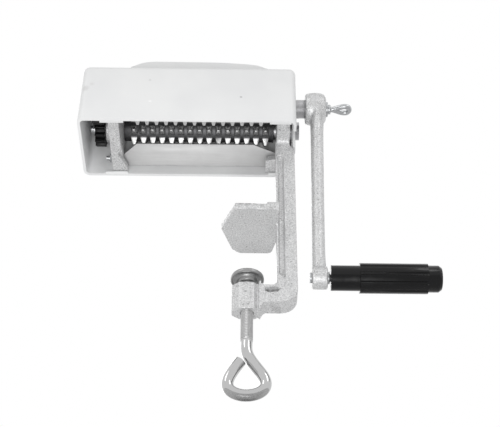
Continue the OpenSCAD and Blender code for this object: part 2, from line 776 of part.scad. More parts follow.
module clamp_screw() {
    base_r = 17.3;
    side_r = 6.5;
    half = 40;             // half the angle of the wide bottom arc
    lean = 27;             // lean of the loop's sides
    base_z = -loop_bottom + loop_wire_d / 2 + base_r;
    side_x = (base_r - side_r) * sin(half);
    side_z = base_z - (base_r - side_r) * cos(half);
    run_x = side_x + side_r * cos(lean);
    run_z = side_z + side_r * sin(lean);
    bend_r = 14;
    bend_run = bend_r * tan(lean / 2);
    corner_z = run_z + run_x / tan(lean);
    bend_z = corner_z + bend_run;
    run_len = run_x / sin(lean) - bend_run;
    free_len = 15.5;
    thread_end = bend_z + 8;
    color("silver") {
        // thread, smooth neck above the loop, and the peened end that holds the pad
        translate([0, 0, thread_end]) cylinder(r = screw_d / 2, h = pad_bottom - thread_end);
        translate([0, 0, bend_z]) cylinder(r = loop_wire_d / 2, h = thread_end - bend_z + 1);
        translate([0, 0, pad_bottom - 1]) cylinder(r = neck_r, h = pad_top - pad_bottom - 0.2);
        translate([0, 0, pad_top - 2 + seat]) cylinder(r = neck_r + 1.5, h = 1.2 - seat);
        // from the bend round the loop to the free end
        wire_arc(bend_r, bend_z, bend_r, 180, 180 + lean, slim = true);
        wire_run(run_x, run_z, 90 + lean, run_len);
        wire_arc(side_x, side_z, side_r, -90 + half, lean, slim = true);
        wire_arc(0, base_z, base_r, -90 - half, -90 + half);
        wire_arc(-side_x, side_z, side_r, 180 - lean, 270 - half, slim = true);
        wire_run(-run_x, run_z, 90 - lean, free_len);
    }
}

module clamp_pad() {
    color("darkgray") rotate_extrude()
        polygon([[neck_r + running, pad_bottom + seat], [pad_hub_r, pad_bottom + seat],
            [pad_hub_r, pad_top - pad_plate_t - 1], [pad_r - 2, pad_top - pad_plate_t],
            [pad_r - 2, pad_top - pad_rim], [pad_r, pad_top - pad_rim], [pad_r, pad_top - 1],
            [pad_r - 1, pad_top], [neck_r + 2, pad_top], [neck_r + 2, pad_top - 2], [neck_r + running, pad_top - 2]]);
}

module front_guide_plate() {
    color("whitesmoke") guide_plate(-1, ring_count - 1);
}

module back_guide_plate() {
    color("whitesmoke") guide_plate(1, ring_count);
}

hood();
clamp_frame();
gear_end_plate();
front_guide_plate();
back_guide_plate();
tie_rod(-1);  // front_tie_rod
tie_rod(1);  // back_tie_rod
tie_nut(-1);  // front_tie_nut
tie_nut(1);  // back_tie_nut
tie_washer(-1);  // front_tie_washer
tie_washer(1);  // back_tie_washer
guide_stud(-1);  // front_guide_stud
guide_stud(1);  // back_guide_stud
guide_nut(-1);  // front_guide_nut
guide_nut(1);  // back_guide_nut
guide_screw(-1);  // front_guide_screw
guide_screw(1);  // back_guide_screw
gear_bush(-1);  // front_gear_bush
gear_bush(1);  // back_gear_bush
crank_bush(-1);  // front_crank_bush
crank_bush(1);  // back_crank_bush
front_shaft();
front_roller();
front_gear();
gear_washer(-1);  // front_gear_washer
gear_screw(-1);  // front_gear_screw
back_shaft();
back_roller();
back_gear();
gear_washer(1);  // back_gear_washer
gear_screw(1);  // back_gear_screw
crank_arm();
crank_washer();
eye_screw();
grip_pin();
grip();
clamp_screw();
clamp_pad();
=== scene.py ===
"""The looks of a clamp-on, hand-cranked meat tenderizer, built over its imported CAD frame.

Everything is in metres in the part's own frame: the origin is where the clamp screw's axis meets the
jaw's underside, +Z is up, +X runs along the rollers towards the crank and +Y towards the back roller.
"""
import json
import math

import bmesh
import bpy
from mathutils import Matrix, Vector

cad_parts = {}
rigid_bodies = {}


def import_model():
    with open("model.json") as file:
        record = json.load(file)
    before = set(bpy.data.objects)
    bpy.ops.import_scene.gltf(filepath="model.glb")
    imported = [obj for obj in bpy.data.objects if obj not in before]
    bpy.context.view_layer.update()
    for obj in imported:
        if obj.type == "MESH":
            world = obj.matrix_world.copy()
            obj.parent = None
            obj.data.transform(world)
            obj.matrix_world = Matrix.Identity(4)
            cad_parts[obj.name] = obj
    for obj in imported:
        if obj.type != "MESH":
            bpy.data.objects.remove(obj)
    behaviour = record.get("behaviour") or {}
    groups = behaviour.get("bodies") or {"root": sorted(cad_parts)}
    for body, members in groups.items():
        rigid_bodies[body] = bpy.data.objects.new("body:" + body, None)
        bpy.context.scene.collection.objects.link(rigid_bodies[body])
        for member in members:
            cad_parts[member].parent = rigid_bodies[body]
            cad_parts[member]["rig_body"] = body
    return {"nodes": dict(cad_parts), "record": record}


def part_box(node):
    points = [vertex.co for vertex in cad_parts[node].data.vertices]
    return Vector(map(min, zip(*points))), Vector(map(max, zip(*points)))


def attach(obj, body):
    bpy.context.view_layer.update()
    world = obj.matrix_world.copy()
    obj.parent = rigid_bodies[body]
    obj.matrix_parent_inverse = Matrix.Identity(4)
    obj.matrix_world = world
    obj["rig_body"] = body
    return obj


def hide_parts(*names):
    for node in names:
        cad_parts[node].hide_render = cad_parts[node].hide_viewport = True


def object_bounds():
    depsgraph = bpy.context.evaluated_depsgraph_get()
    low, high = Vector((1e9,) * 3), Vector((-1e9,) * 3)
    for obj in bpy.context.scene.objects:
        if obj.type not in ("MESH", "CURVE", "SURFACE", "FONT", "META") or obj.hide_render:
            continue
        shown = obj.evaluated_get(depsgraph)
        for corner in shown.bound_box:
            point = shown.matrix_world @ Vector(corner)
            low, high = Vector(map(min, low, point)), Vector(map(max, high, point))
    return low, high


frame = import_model()
cad_box = [list(corner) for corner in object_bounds()]

MM = 0.001
# height of the lower end of the clamp screw's thread, in millimetres
THREAD_END = -113.5


# ---------------------------------------------------------------- materials

class Nodes:
    """A short way to write a node tree: each call adds a node, sets its inputs and returns it."""

    def __init__(self, name):
        self.material = bpy.data.materials.new(name)
        self.material.use_nodes = True
        self.tree = self.material.node_tree
        self.tree.nodes.clear()

    def add(self, kind, inputs=None, **settings):
        node = self.tree.nodes.new(kind)
        for key, value in settings.items():
            setattr(node, key, value)
        for key, value in (inputs or {}).items():
            if isinstance(value, bpy.types.NodeSocket):
                self.tree.links.new(value, node.inputs[key])
            else:
                node.inputs[key].default_value = value
        return node

    def coords(self, stretch=(1, 1, 1)):
        place = self.add("ShaderNodeTexCoord").outputs["Object"]
        return self.add("ShaderNodeMapping", {"Vector": place, "Scale": stretch}).outputs["Vector"]

    def noise(self, size, detail=3.0, rough=0.5, stretch=(1, 1, 1)):
        """Noise whose lumps are about size metres across."""
        inputs = {"Vector": self.coords(stretch), "Scale": 1 / size, "Detail": detail, "Roughness": rough}
        return self.add("ShaderNodeTexNoise", inputs).outputs["Fac"]

    def ramp(self, fac, low, high, start=0.35, end=0.65):
        """Turns a 0 to 1 pattern into a blend of two greys or colours."""
        node = self.add("ShaderNodeValToRGB", {"Fac": fac})
        stops = node.color_ramp.elements
        stops[0].position, stops[0].color = start, as_color(low)
        stops[1].position, stops[1].color = end, as_color(high)
        return node.outputs["Color"]

    def mix(self, fac, a, b):
        node = self.add("ShaderNodeMix", data_type="RGBA")
        for key, value in (("Factor", fac), ("A", a), ("B", b)):
            socket = next(s for s in node.inputs if s.name == key and s.enabled)
            if isinstance(value, bpy.types.NodeSocket):
                self.tree.links.new(value, socket)
            else:
                socket.default_value = value
        return next(s for s in node.outputs if s.enabled)

    def spot(self, place, size, frayed):
        """1 within about size metres of a point, with a frayed edge, and 0 further off."""
        here = self.add("ShaderNodeTexCoord").outputs["Object"]
        away = self.add("ShaderNodeVectorMath", {0: here, 1: place}, operation="DISTANCE").outputs["Value"]
        away = self.add("ShaderNodeMath", {0: away, 1: 1 / size}, operation="MULTIPLY").outputs[0]
        away = self.add("ShaderNodeMath", {0: away, 1: frayed}, operation="ADD").outputs[0]
        return self.add("ShaderNodeMapRange", {"Value": away, "From Min": 0.7, "From Max": 1.3,
                                               "To Min": 1.0, "To Max": 0.0}).outputs[0]

    def bump(self, height, depth, strength=1.0, normal=None):
        inputs = {"Height": height, "Distance": depth, "Strength": strength}
        if normal is not None:
            inputs["Normal"] = normal
        return self.add("ShaderNodeBump", inputs).outputs["Normal"]

    def surface(self, **inputs):
        named = {key.replace("_", " "): value for key, value in inputs.items()}
        shader = self.add("ShaderNodeBsdfPrincipled", named)
        self.add("ShaderNodeOutputMaterial", {"Surface": shader.outputs["BSDF"]})
        return self.material


def as_color(value):
    if isinstance(value, (int, float)):
        return (value, value, value, 1.0)
    return (*value[:3], 1.0)


def hood_plastic():
    """White moulded plastic, a little glossy, with faint mould marks, nicks and a scuffed corner."""
    n = Nodes("hood_plastic")
    color = n.ramp(n.noise(0.05, 2), (0.80, 0.805, 0.81), (0.845, 0.85, 0.85))
    specks = n.ramp(n.noise(0.006, 6, 0.75), 1.0, 0.0, 0.27, 0.33)
    color = n.mix(specks, color, as_color((0.70, 0.70, 0.69)))
    frayed = n.noise(0.004, 5, 0.7)
    for place, size, tone in HOOD_MARKS:
        spot = n.spot(place, size, frayed)
        color = n.mix(spot, color, as_color(tone))
    rough = n.ramp(n.noise(0.02, 4), 0.36, 0.5)
    normal = n.bump(n.noise(0.0012, 3), 0.00003, 0.35)
    normal = n.bump(n.noise(0.03, 1), 0.0004, 0.3, normal)
    return n.surface(Base_Color=color, Roughness=rough, Normal=normal, Specular_IOR_Level=0.45)


# nicks, scuffs and rubbed spots on the hood: place, size in metres, grey
HOOD_MARKS = [
    ((-0.088, -0.036, 0.1425), 0.0024, 0.72),
    ((-0.0865, -0.036, 0.1157), 0.0022, 0.95),
    ((-0.007, -0.036, 0.122), 0.0018, 0.52),
    ((-0.1447, -0.036, 0.1313), 0.0055, 0.70),
    ((-0.139, -0.036, 0.137), 0.0035, 0.74),
    ((-0.06, 0.036, 0.128), 0.004, 0.68),
    ((0.02, 0.036, 0.117), 0.0025, 0.62),
]

# painted shade in the bend's pockets and along the jaw's front edge: place, size in metres, grey
CAST_PAINTED_SHADE = [((x, y, -0.067), 0.0036, 0.30) for x in (0.0165, 0.0205, 0.0245) for y in (-0.003, 0.003)]
CAST_PAINTED_SHADE += [((x, -0.0285, z), 0.0034, 0.40)
               for x, z in ((-0.012, 0.004), (-0.006, 0.005), (-0.001, 0.0045),
                            (0.006, 0.0055), (0.012, 0.003), (0.019, 0.001))]


def cast_metal():
    """Tinned casting: bright and sandy, with pits, dull patches and rubbed high spots, and painted shade in
    the bend's pockets and along the jaw's front edge.
    """
    n = Nodes("cast_metal")
    grain = n.noise(0.0011, 5, 0.75)
    blotch = n.noise(0.009, 4, 0.6)
    pits = n.ramp(n.noise(0.0026, 5, 0.7), 1.0, 0.0, 0.33, 0.39)
    base = n.mix(blotch, as_color((0.50, 0.503, 0.507)), as_color((0.68, 0.683, 0.686)))
    base = n.mix(n.ramp(grain, 0.0, 0.7, 0.5, 0.62), base, as_color((0.92, 0.92, 0.92)))
    base = n.mix(n.ramp(grain, 0.55, 0.0, 0.38, 0.47), base, as_color((0.30, 0.30, 0.30)))
    color = n.mix(pits, base, as_color((0.20, 0.20, 0.20)))
    frayed = n.noise(0.003, 5, 0.7)
    # painted shade: darker spots in the bend's pockets and along the jaw's front edge
    for place, size, tone in CAST_PAINTED_SHADE:
        color = n.mix(n.spot(place, size, frayed), color, as_color(tone))
    rough = n.ramp(n.noise(0.004, 5, 0.6), 0.26, 0.5)
    normal = n.bump(grain, 0.00035, 0.6)
    normal = n.bump(n.noise(0.005, 3), 0.0009, 0.4, normal)
    return n.surface(Base_Color=color, Roughness=rough, Metallic=0.35, Normal=normal)


def roller_metal(name, axis_y, axis_z):
    """Cast teeth: dull, with painted shade darkening the core between the rings, and bright towards the tips,
    partly rubbed wear and partly a painted highlight.
    """
    n = Nodes(name)
    place = n.add("ShaderNodeSeparateXYZ", {"Vector": n.add("ShaderNodeTexCoord").outputs["Object"]})
    y = n.add("ShaderNodeMath", {0: place.outputs["Y"], 1: axis_y}, operation="SUBTRACT").outputs[0]
    z = n.add("ShaderNodeMath", {0: place.outputs["Z"], 1: axis_z}, operation="SUBTRACT").outputs[0]
    out = n.add("ShaderNodeCombineXYZ", {"Y": y, "Z": z}).outputs[0]
    radius = n.add("ShaderNodeVectorMath", {0: out}, operation="LENGTH").outputs["Value"]
    # 0 at the core, where the dark colour is painted shade, to 1 at the tips, where the bright colour is
    # partly rubbed wear and partly a painted highlight
    shade_to_tip_highlight = n.add("ShaderNodeMapRange", {"Value": radius, "From Min": 10.7 * MM,
                                          "From Max": 11.8 * MM}).outputs[0]
    grain = n.noise(0.0016, 5, 0.7)
    core_painted_shade = n.mix(grain, as_color((0.045, 0.045, 0.048)), as_color((0.20, 0.20, 0.205)))
    tip_wear_and_highlight = n.mix(grain, as_color((0.50, 0.50, 0.50)), as_color((0.82, 0.82, 0.82)))
    color = n.mix(shade_to_tip_highlight, core_painted_shade, tip_wear_and_highlight)
    rough = n.mix(shade_to_tip_highlight, as_color(0.5), as_color(0.22))
    return n.surface(Base_Color=color, Roughness=rough, Metallic=0.9, Normal=n.bump(grain, 0.00015, 0.5))


def threaded_chrome(name, end):
    """Bright chrome wire whose thread, above the height end, is duller and paler."""
    n = Nodes(name)
    place = n.add("ShaderNodeSeparateXYZ", {"Vector": n.add("ShaderNodeTexCoord").outputs["Object"]})
    dull = n.add("ShaderNodeMapRange", {"Value": place.outputs["Z"], "From Min": end - 1.5 * MM,
                                        "From Max": end + 0.5 * MM}).outputs[0]
    grain = n.noise(0.0012, 5, 0.7)
    color = n.mix(dull, as_color((0.52, 0.52, 0.52)), n.mix(grain, as_color((0.25, 0.25, 0.25)),
                                                          as_color((0.80, 0.80, 0.80))))
    rough = n.mix(dull, n.ramp(grain, 0.05, 0.10), as_color(0.42))
    metal = n.mix(dull, as_color(0.95), as_color(0.45))
    return n.surface(Base_Color=color, Roughness=rough, Metallic=metal)


def rubbed_metal(name, dark, light, rough_low, rough_high, stretch, size=0.001, metallic=0.95, depth=0.00006):
    """Turned, rolled or drawn metal, or plain plastic at metallic 0, with fine streaks."""
    n = Nodes(name)
    streak = n.noise(size, 5, 0.65, stretch)
    cloud = n.noise(0.012, 3)
    color = n.mix(streak, as_color(dark), as_color(light))
    color = n.mix(n.ramp(cloud, 0.0, 0.35), color, as_color(dark))
    rough = n.ramp(n.noise(0.004, 4, 0.6, stretch), rough_low, rough_high)
    return n.surface(Base_Color=color, Roughness=rough, Metallic=metallic, Normal=n.bump(streak, depth, 0.5))


def black_plastic(name, tone, rough_low, rough_high, grain):
    """Moulded black plastic with a slight skin texture and a few light rubs."""
    n = Nodes(name)
    rubs = n.ramp(n.noise(0.004, 6, 0.7, (0.3, 1, 1)), 0.0, 1.0, 0.62, 0.75)
    color = n.mix(rubs, as_color(tone), as_color([2.2 * c for c in tone]))
    rough = n.ramp(n.noise(0.008, 4), rough_low, rough_high)
    normal = n.bump(n.noise(grain, 3), 0.00004, 0.4)
    return n.surface(Base_Color=color, Roughness=rough, Normal=normal, Specular_IOR_Level=0.28)


# how far the streaks of a metal are drawn out: along the rollers, round them, or not at all
ALONG_X = (0.06, 1, 1)
AROUND_X = (1, 0.1, 0.1)
EVENLY = (1, 1, 1)
MATERIALS = {
    "hood_plastic": hood_plastic(),
    "cast_metal": cast_metal(),
    "guide_sheet": rubbed_metal("guide_sheet", (0.50, 0.50, 0.50), (0.66, 0.66, 0.66), 0.52, 0.66, ALONG_X,
                                metallic=0.4),
    "plated_steel": rubbed_metal("plated_steel", (0.42, 0.43, 0.44), (0.68, 0.69, 0.70), 0.22, 0.38, EVENLY),
    "bush_plastic": rubbed_metal("bush_plastic", (0.36, 0.35, 0.33), (0.46, 0.45, 0.42), 0.4, 0.55, EVENLY,
                                 metallic=0.0),
    "shaft_steel": rubbed_metal("shaft_steel", (0.33, 0.33, 0.34), (0.60, 0.60, 0.61), 0.22, 0.40, AROUND_X),
    "gear_plastic": black_plastic("gear_plastic", (0.006, 0.006, 0.0065), 0.36, 0.5, 0.0008),
    "grip_plastic": black_plastic("grip_plastic", (0.003, 0.003, 0.0034), 0.12, 0.24, 0.0016),
    "screw_steel": rubbed_metal("screw_steel", (0.44, 0.445, 0.45), (0.56, 0.565, 0.57), 0.05, 0.11, EVENLY,
                                depth=0.00001),
    "pad_steel": rubbed_metal("pad_steel", (0.26, 0.26, 0.26), (0.44, 0.44, 0.44), 0.28, 0.45, EVENLY),
}
MATERIALS["clamp_screw"] = threaded_chrome("clamp_screw", THREAD_END * MM)
for side in ("front", "back"):
    low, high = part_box(side + "_roller")
    middle = (low + high) / 2
    MATERIALS[side + "_roller"] = roller_metal(side + "_roller", middle.y, middle.z)
SLOT_OF = {part["node"]: part["material_slot"] for part in frame["record"]["subparts"]}


# ---------------------------------------------------------------- shapes

def finish_of(node):
    return MATERIALS[node] if node in MATERIALS else MATERIALS[SLOT_OF[node]]


def place_piece(obj, node):
    """Gives a piece its node's body and material, and lets it stand for the node."""
    obj.data.materials.clear()
    obj.data.materials.append(finish_of(node))
    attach(obj, frame["nodes"][node]["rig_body"])
    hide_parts(node)


def mesh_piece(name, bm):
    mesh = bpy.data.meshes.new(name)
    bm.to_mesh(mesh)
    bm.free()
    obj = bpy.data.objects.new(name, mesh)
    bpy.context.scene.collection.objects.link(obj)
    return obj


def smooth_by_angle(mesh, angle):
    """Smooth shading, except over edges sharper than the angle in degrees."""
    bm = bmesh.new()
    bm.from_mesh(mesh)
    for face in bm.faces:
        face.smooth = True
    for edge in bm.edges:
        edge.smooth = len(edge.link_faces) == 2 and edge.calc_face_angle(0) < math.radians(angle)
    bm.to_mesh(mesh)
    bm.free()


def eased(node, width, angle=28, segments=2):
    """A copy of a CAD node with its sharp edges eased by width metres."""
    source = frame["nodes"][node]
    bm = bmesh.new()
    bm.from_mesh(source.data)
    bmesh.ops.remove_doubles(bm, verts=bm.verts, dist=2e-6)
    bmesh.ops.dissolve_limit(bm, angle_limit=math.radians(0.6), verts=bm.verts, edges=bm.edges)
    obj = mesh_piece("eased_" + node, bm)
    bevel = obj.modifiers.new("ease", "BEVEL")
    bevel.width = width
    bevel.segments = segments
    bevel.limit_method = "ANGLE"
    bevel.angle_limit = math.radians(angle)
    bevel.use_clamp_overlap = True
    apply_modifiers(obj)
    smooth_by_angle(obj.data, 40)
    place_piece(obj, node)


def apply_modifiers(obj):
    graph = bpy.context.evaluated_depsgraph_get()
    mesh = bpy.data.meshes.new_from_object(obj.evaluated_get(graph))
    obj.modifiers.clear()
    old = obj.data
    obj.data = mesh
    bpy.data.meshes.remove(old)


def finish_node(node):
    """Leaves a CAD node as it is, with its own material."""
    obj = frame["nodes"][node]
    obj.data.materials.clear()
    obj.data.materials.append(finish_of(node))


def loft(bm, rings):
    """Skins closed rings of points into one closed shell, with flat ends."""
    rows = [[bm.verts.new(point) for point in ring] for ring in rings]
    for low, high in zip(rows, rows[1:]):
        for k in range(len(low)):
            bm.faces.new((low[k - 1], low[k], high[k], high[k - 1]))
    bm.faces.new(reversed(rows[0]))
    bm.faces.new(rows[-1])


def round_ring(middle, across, along, count=48, power=2.0):
    """Points of a closed curve about middle: an ellipse at power 2, a lens with ridges below that."""
    ring = []
    for k in range(count):
        c, s = math.cos(math.tau * k / count), math.sin(math.tau * k / count)
        ring.append(middle + across * math.copysign(abs(c) ** (2 / power), c)
                    + along * math.copysign(abs(s) ** (2 / power), s))
    return ring


def turned(bm, origin, profile, axis="X", count=64):
    """A closed turned shape from (distance along the axis, radius) pairs, in millimetres."""
    way, a, b = {"X": (Vector((1, 0, 0)), Vector((0, 1, 0)), Vector((0, 0, 1))),
                 "Z": (Vector((0, 0, 1)), Vector((1, 0, 0)), Vector((0, 1, 0)))}[axis]
    loft(bm, [round_ring(origin + way * d * MM, a * r * MM, b * r * MM, count) for d, r in profile])


def tube(bm, points, radius, count=32):
    """A round wire through points that lie in the XZ plane."""
    rings = []
    for k, point in enumerate(points):
        way = (points[min(k + 1, len(points) - 1)] - points[max(k - 1, 0)]).normalized()
        rings.append(round_ring(point, Vector((way.z, 0, -way.x)) * radius,
                                Vector((0, 1, 0)) * radius, count))
    loft(bm, rings)


def smooth_path(points, steps=6):
    """A Catmull-Rom curve through points."""
    path = []
    ends = [2 * points[0] - points[1], *points, 2 * points[-1] - points[-2]]
    for a, b, c, d in zip(ends, ends[1:], ends[2:], ends[3:]):
        for k in range(steps):
            t = k / steps
            path.append(0.5 * (2 * b + (c - a) * t + (2 * a - 5 * b + 4 * c - d) * t * t
                               + (3 * b - a - 3 * c + d) * t ** 3))
    return path + [points[-1]]


def slab(bm, outline, low, high, axis):
    """A closed block with an outline in millimetres, in (x, y) for axis Z or in (x, z) for axis Y."""
    def at(u, v, w):
        return Vector((u, v, w)) * MM if axis == "Z" else Vector((u, w, v)) * MM
    turn = sum(a[0] * b[1] - b[0] * a[1] for a, b in zip(outline, outline[1:] + outline[:1]))
    if (turn > 0) != (axis == "Z"):
        outline = outline[::-1]
    loft(bm, [[at(u, v, low) for u, v in outline], [at(u, v, high) for u, v in outline]])


def arc(x, z, radius, start, end, steps=8):
    angles = [math.radians(start + (end - start) * k / steps) for k in range(steps + 1)]
    return [(x + radius * math.cos(a), z + radius * math.sin(a)) for a in angles]


def add_solid(bm, node):
    """Adds a copy of a CAD node to a mesh."""
    bm.from_mesh(frame["nodes"][node].data)
    bmesh.ops.remove_doubles(bm, verts=bm.verts, dist=2e-6)


def cut(obj, cutters):
    """Takes the closed shells of another mesh away from a piece."""
    bmesh.ops.recalc_face_normals(cutters, faces=cutters.faces)
    tool = mesh_piece("cutter", cutters)
    boolean = obj.modifiers.new("cut", "BOOLEAN")
    boolean.operation = "DIFFERENCE"
    boolean.object = tool
    apply_modifiers(obj)
    old = tool.data
    bpy.data.objects.remove(tool)
    bpy.data.meshes.remove(old)


def cast(name, bm, voxel, passes, keep, cutters=None):
    """Melts closed shells into one casting with soft edges and filled inner corners."""
    bmesh.ops.recalc_face_normals(bm, faces=bm.faces)
    obj = mesh_piece(name, bm)
    melt = obj.modifiers.new("melt", "REMESH")
    melt.mode = "VOXEL"
    melt.voxel_size = voxel * MM
    apply_modifiers(obj)
    if cutters is not None:
        cut(obj, cutters)
    soften = obj.modifiers.new("soften", "SMOOTH")
    soften.factor = 0.5
    soften.iterations = passes
    lighten = obj.modifiers.new("lighten", "DECIMATE")
    lighten.ratio = keep
    apply_modifiers(obj)
    smooth_by_angle(obj.data, 50)
    return obj


def make_clamp_frame():
    """The side plate, arm, jaw and boss as one soft-edged casting.

    It keeps the solid's places. The bend's pocket is smaller than the solid's, the bend is hollowed out
    to a wider curve above and cut back to one below, the arm's pocket has a deeper groove along one
    side, and the jaw's back edge is rounder.
    """
    bm = bmesh.new()
    add_solid(bm, "clamp_frame")
    web = [(10, -72), (28.5, -72), (28.5, -62), (10, -62)]
    jaw_back = [(-13.5, 24), (-9.5, 29.4), (-6, 31), (17.5, 31), (19.6, 30.2), (21, 28), (23.8, 17), (0, 17)]
    slab(bm, web, -7.9, 7.9, "Y")
    slab(bm, jaw_back, 0, 6, "Z")
    cutters = bmesh.new()
    above_bend = [(23.6, -47), (11, -47), (11, -61), (13.5, -62.6)] + arc(19.6, -58.6, 4, 270, 360)
    below_bend = ([(9.5, -95), (44, -95), (44, -60)] + arc(27.2, -66.5, 13, 0, -90)
                  + [(14.5, -79.5), (12.5, -81), (10.8, -84.2)])
    slab(cutters, above_bend, -20, 20, "Y")
    slab(cutters, below_bend, -20, 20, "Y")
    pocket = [(14, -65.2), (25.5, -64.4), (27, -66.5), (24, -69.4), (18, -70.4), (14, -69)]
    slab(cutters, pocket, -9, -2.4, "Y")
    slab(cutters, pocket, 2.4, 9, "Y")
    groove = [(26.2, 74), (26.2, -49), (28, -53), (29.6, -54.5), (29.6, 74)]
    slab(cutters, groove, -9, -4.1, "Y")
    slab(cutters, groove, 4.1, 9, "Y")
    place_piece(cast("cast_clamp_frame", bm, 0.7, 3, 0.4, cutters), "clamp_frame")


def make_gear_end_plate():
    bm = bmesh.new()
    add_solid(bm, "gear_end_plate")
    place_piece(cast("cast_gear_end_plate", bm, 0.75, 4, 0.4), "gear_end_plate")


def make_crank_arm():
    """The forged crank: a barrel hub, a round bar whose deep root ends in an arch on the hub, and a boss."""
    low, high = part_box("crank_arm")
    hub_r = (high.y - low.y) / 2 / MM
    hub = Vector((low.x, (low.y + high.y) / 2, high.z - hub_r * MM))
    grip_low, grip_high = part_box("grip")
    boss = Vector((low.x + 0.9 * MM, hub.y, (grip_low.z + grip_high.z) / 2))
    throw = (hub.z - boss.z) / MM
    bm = bmesh.new()
    turned(bm, hub, [(0, hub_r - 2.4), (0.8, hub_r - 1.2), (4, hub_r - 0.35), (9, hub_r), (13.5, hub_r - 0.4),
                     (16.6, hub_r - 1.5), (18.4, hub_r - 4.6)])
    turned(bm, boss, [(0, 8.6), (0.6, 9.2), (6, 9.3), (11.5, 9.2), (12.1, 8.6)])
    # drop below the axis, middle, half width, half depth, power of the section
    sections = [(-2, 10.2, 6.2, 11.6, 1.3), (3, 10.2, 6.3, 13.0, 1.3), (7, 10.2, 6.3, 13.3, 1.35),
                (12, 10.1, 6.2, 12.0, 1.45), (18, 10.0, 6.0, 9.6, 1.6), (24, 9.9, 5.8, 7.8, 1.8),
                (32, 9.7, 5.6, 6.7, 1.95), (60, 9.1, 5.45, 6.4, 2.0), (110, 8.0, 5.3, 6.3, 2.0),
                (165, 6.9, 5.3, 6.3, 2.0), (throw - 10, 6.8, 5.6, 6.6, 2.1), (throw - 2, 6.9, 5.8, 6.8, 2.2)]
    loft(bm, [round_ring(hub + Vector((mid, 0, -drop)) * MM, Vector((half, 0, 0)) * MM,
                         Vector((0, deep, 0)) * MM, 64, power) for drop, mid, half, deep, power in sections])
    cutters = bmesh.new()
    square, pin_r = 5.03, 3.03
    x, y, z = hub.x / MM, hub.y / MM, hub.z / MM
    hole = [(x - 1, y - square), (x + 21, y - square), (x + 21, y + square), (x - 1, y + square)]
    slab(cutters, hole, z - square, z + square, "Z")
    turned(cutters, boss, [(-1, pin_r), (14, pin_r)])
    place_piece(cast("forged_crank_arm", bm, 0.6, 4, 0.4, cutters), "crank_arm")


def make_eye_screw():
    """A wire bent into a closed teardrop eye, on a collar and a short shank."""
    low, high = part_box("crank_washer")
    seat = Vector((high.x, (low.y + high.y) / 2, (low.z + high.z) / 2))
    bm = bmesh.new()
    turned(bm, seat, [(-10, 2.9), (0, 2.9), (0.02, 4.4), (2.2, 4.4), (2.6, 4.0), (2.62, 2.6), (7, 2.3)],
           count=32)
    wire = bmesh.new()
    eye = [(3.5, 0.0), (7.5, 1.6), (11.5, 3.4), (15, 4.2), (18, 3.3), (19.3, 0.0),
           (18, -3.3), (15, -4.2), (11.5, -3.4), (7.5, -1.6), (3.5, 0.0)]
    tube(wire, smooth_path([Vector((x, 0, z)) * MM for x, z in eye]), 2.35 * MM, 24)
    turn = Matrix.Translation(seat) @ Matrix.Rotation(math.radians(-86), 4, "X")
    bmesh.ops.transform(wire, matrix=turn, verts=wire.verts)
    mesh = bpy.data.meshes.new("wire")
    wire.to_mesh(mesh)
    wire.free()
    bm.from_mesh(mesh)
    bpy.data.meshes.remove(mesh)
    place_piece(cast("eye_screw_wire", bm, 0.3, 3, 0.4), "eye_screw")


def make_clamp_pad():
    """A shallow pressed dish with a rolled rim, on a short hub."""
    low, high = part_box("clamp_pad")
    bottom, top, r = low.z / MM, high.z / MM, high.x / MM
    count = 72
    bm = bmesh.new()
    # height and radius, round the section from the bore back to the bore
    outline = [(bottom, 3.1), (bottom, 7.0), (bottom + 0.5, 7.5), (top - 4.4, 7.5), (top - 3.1, 8.4),
               (top - 2.4, 10.6), (top - 2.6, 11.9), (top - 3.6, 12.4), (top - 3.8, 12.9), (top - 3.2, 13.4),
               (top - 1.6, r), (top - 0.5, r - 0.2), (top, r - 0.9), (top, 5.2), (top - 0.2, 5.0),
               (top - 2, 5.0), (top - 2, 3.1)]
    rings = [round_ring(Vector((0, 0, z)) * MM, Vector((d, 0, 0)) * MM, Vector((0, d, 0)) * MM, count)
             for z, d in outline]
    rows = [[bm.verts.new(point) for point in ring] for ring in rings]
    for below, above in zip(rows, rows[1:] + rows[:1]):
        for k in range(count):
            bm.faces.new((below[k - 1], below[k], above[k], above[k - 1]))
    bmesh.ops.recalc_face_normals(bm, faces=bm.faces)
    obj = mesh_piece("dished_clamp_pad", bm)
    smooth_by_angle(obj.data, 45)
    place_piece(obj, "clamp_pad")


# the middle of the screw's wire in (x, z), in millimetres, from the end of the thread to the free end
LOOP_PATH = [(0, -113.2), (-0.1, -116.5), (0, -119.6), (0.5, -122.6), (1.9, -126.6), (4.8, -131.7),
             (8.3, -136.9), (11.7, -142.0), (13.9, -146.6), (14.5, -151.0), (13.2, -154.9), (10, -157.9),
             (5.3, -159.9), (0.4, -160.6), (-4.4, -160.2), (-9.2, -158.4), (-12.6, -155.4), (-14.1, -151.3),
             (-13.6, -146.8), (-11.5, -141.7), (-8.2, -135.9), (-4.6, -130.3)]


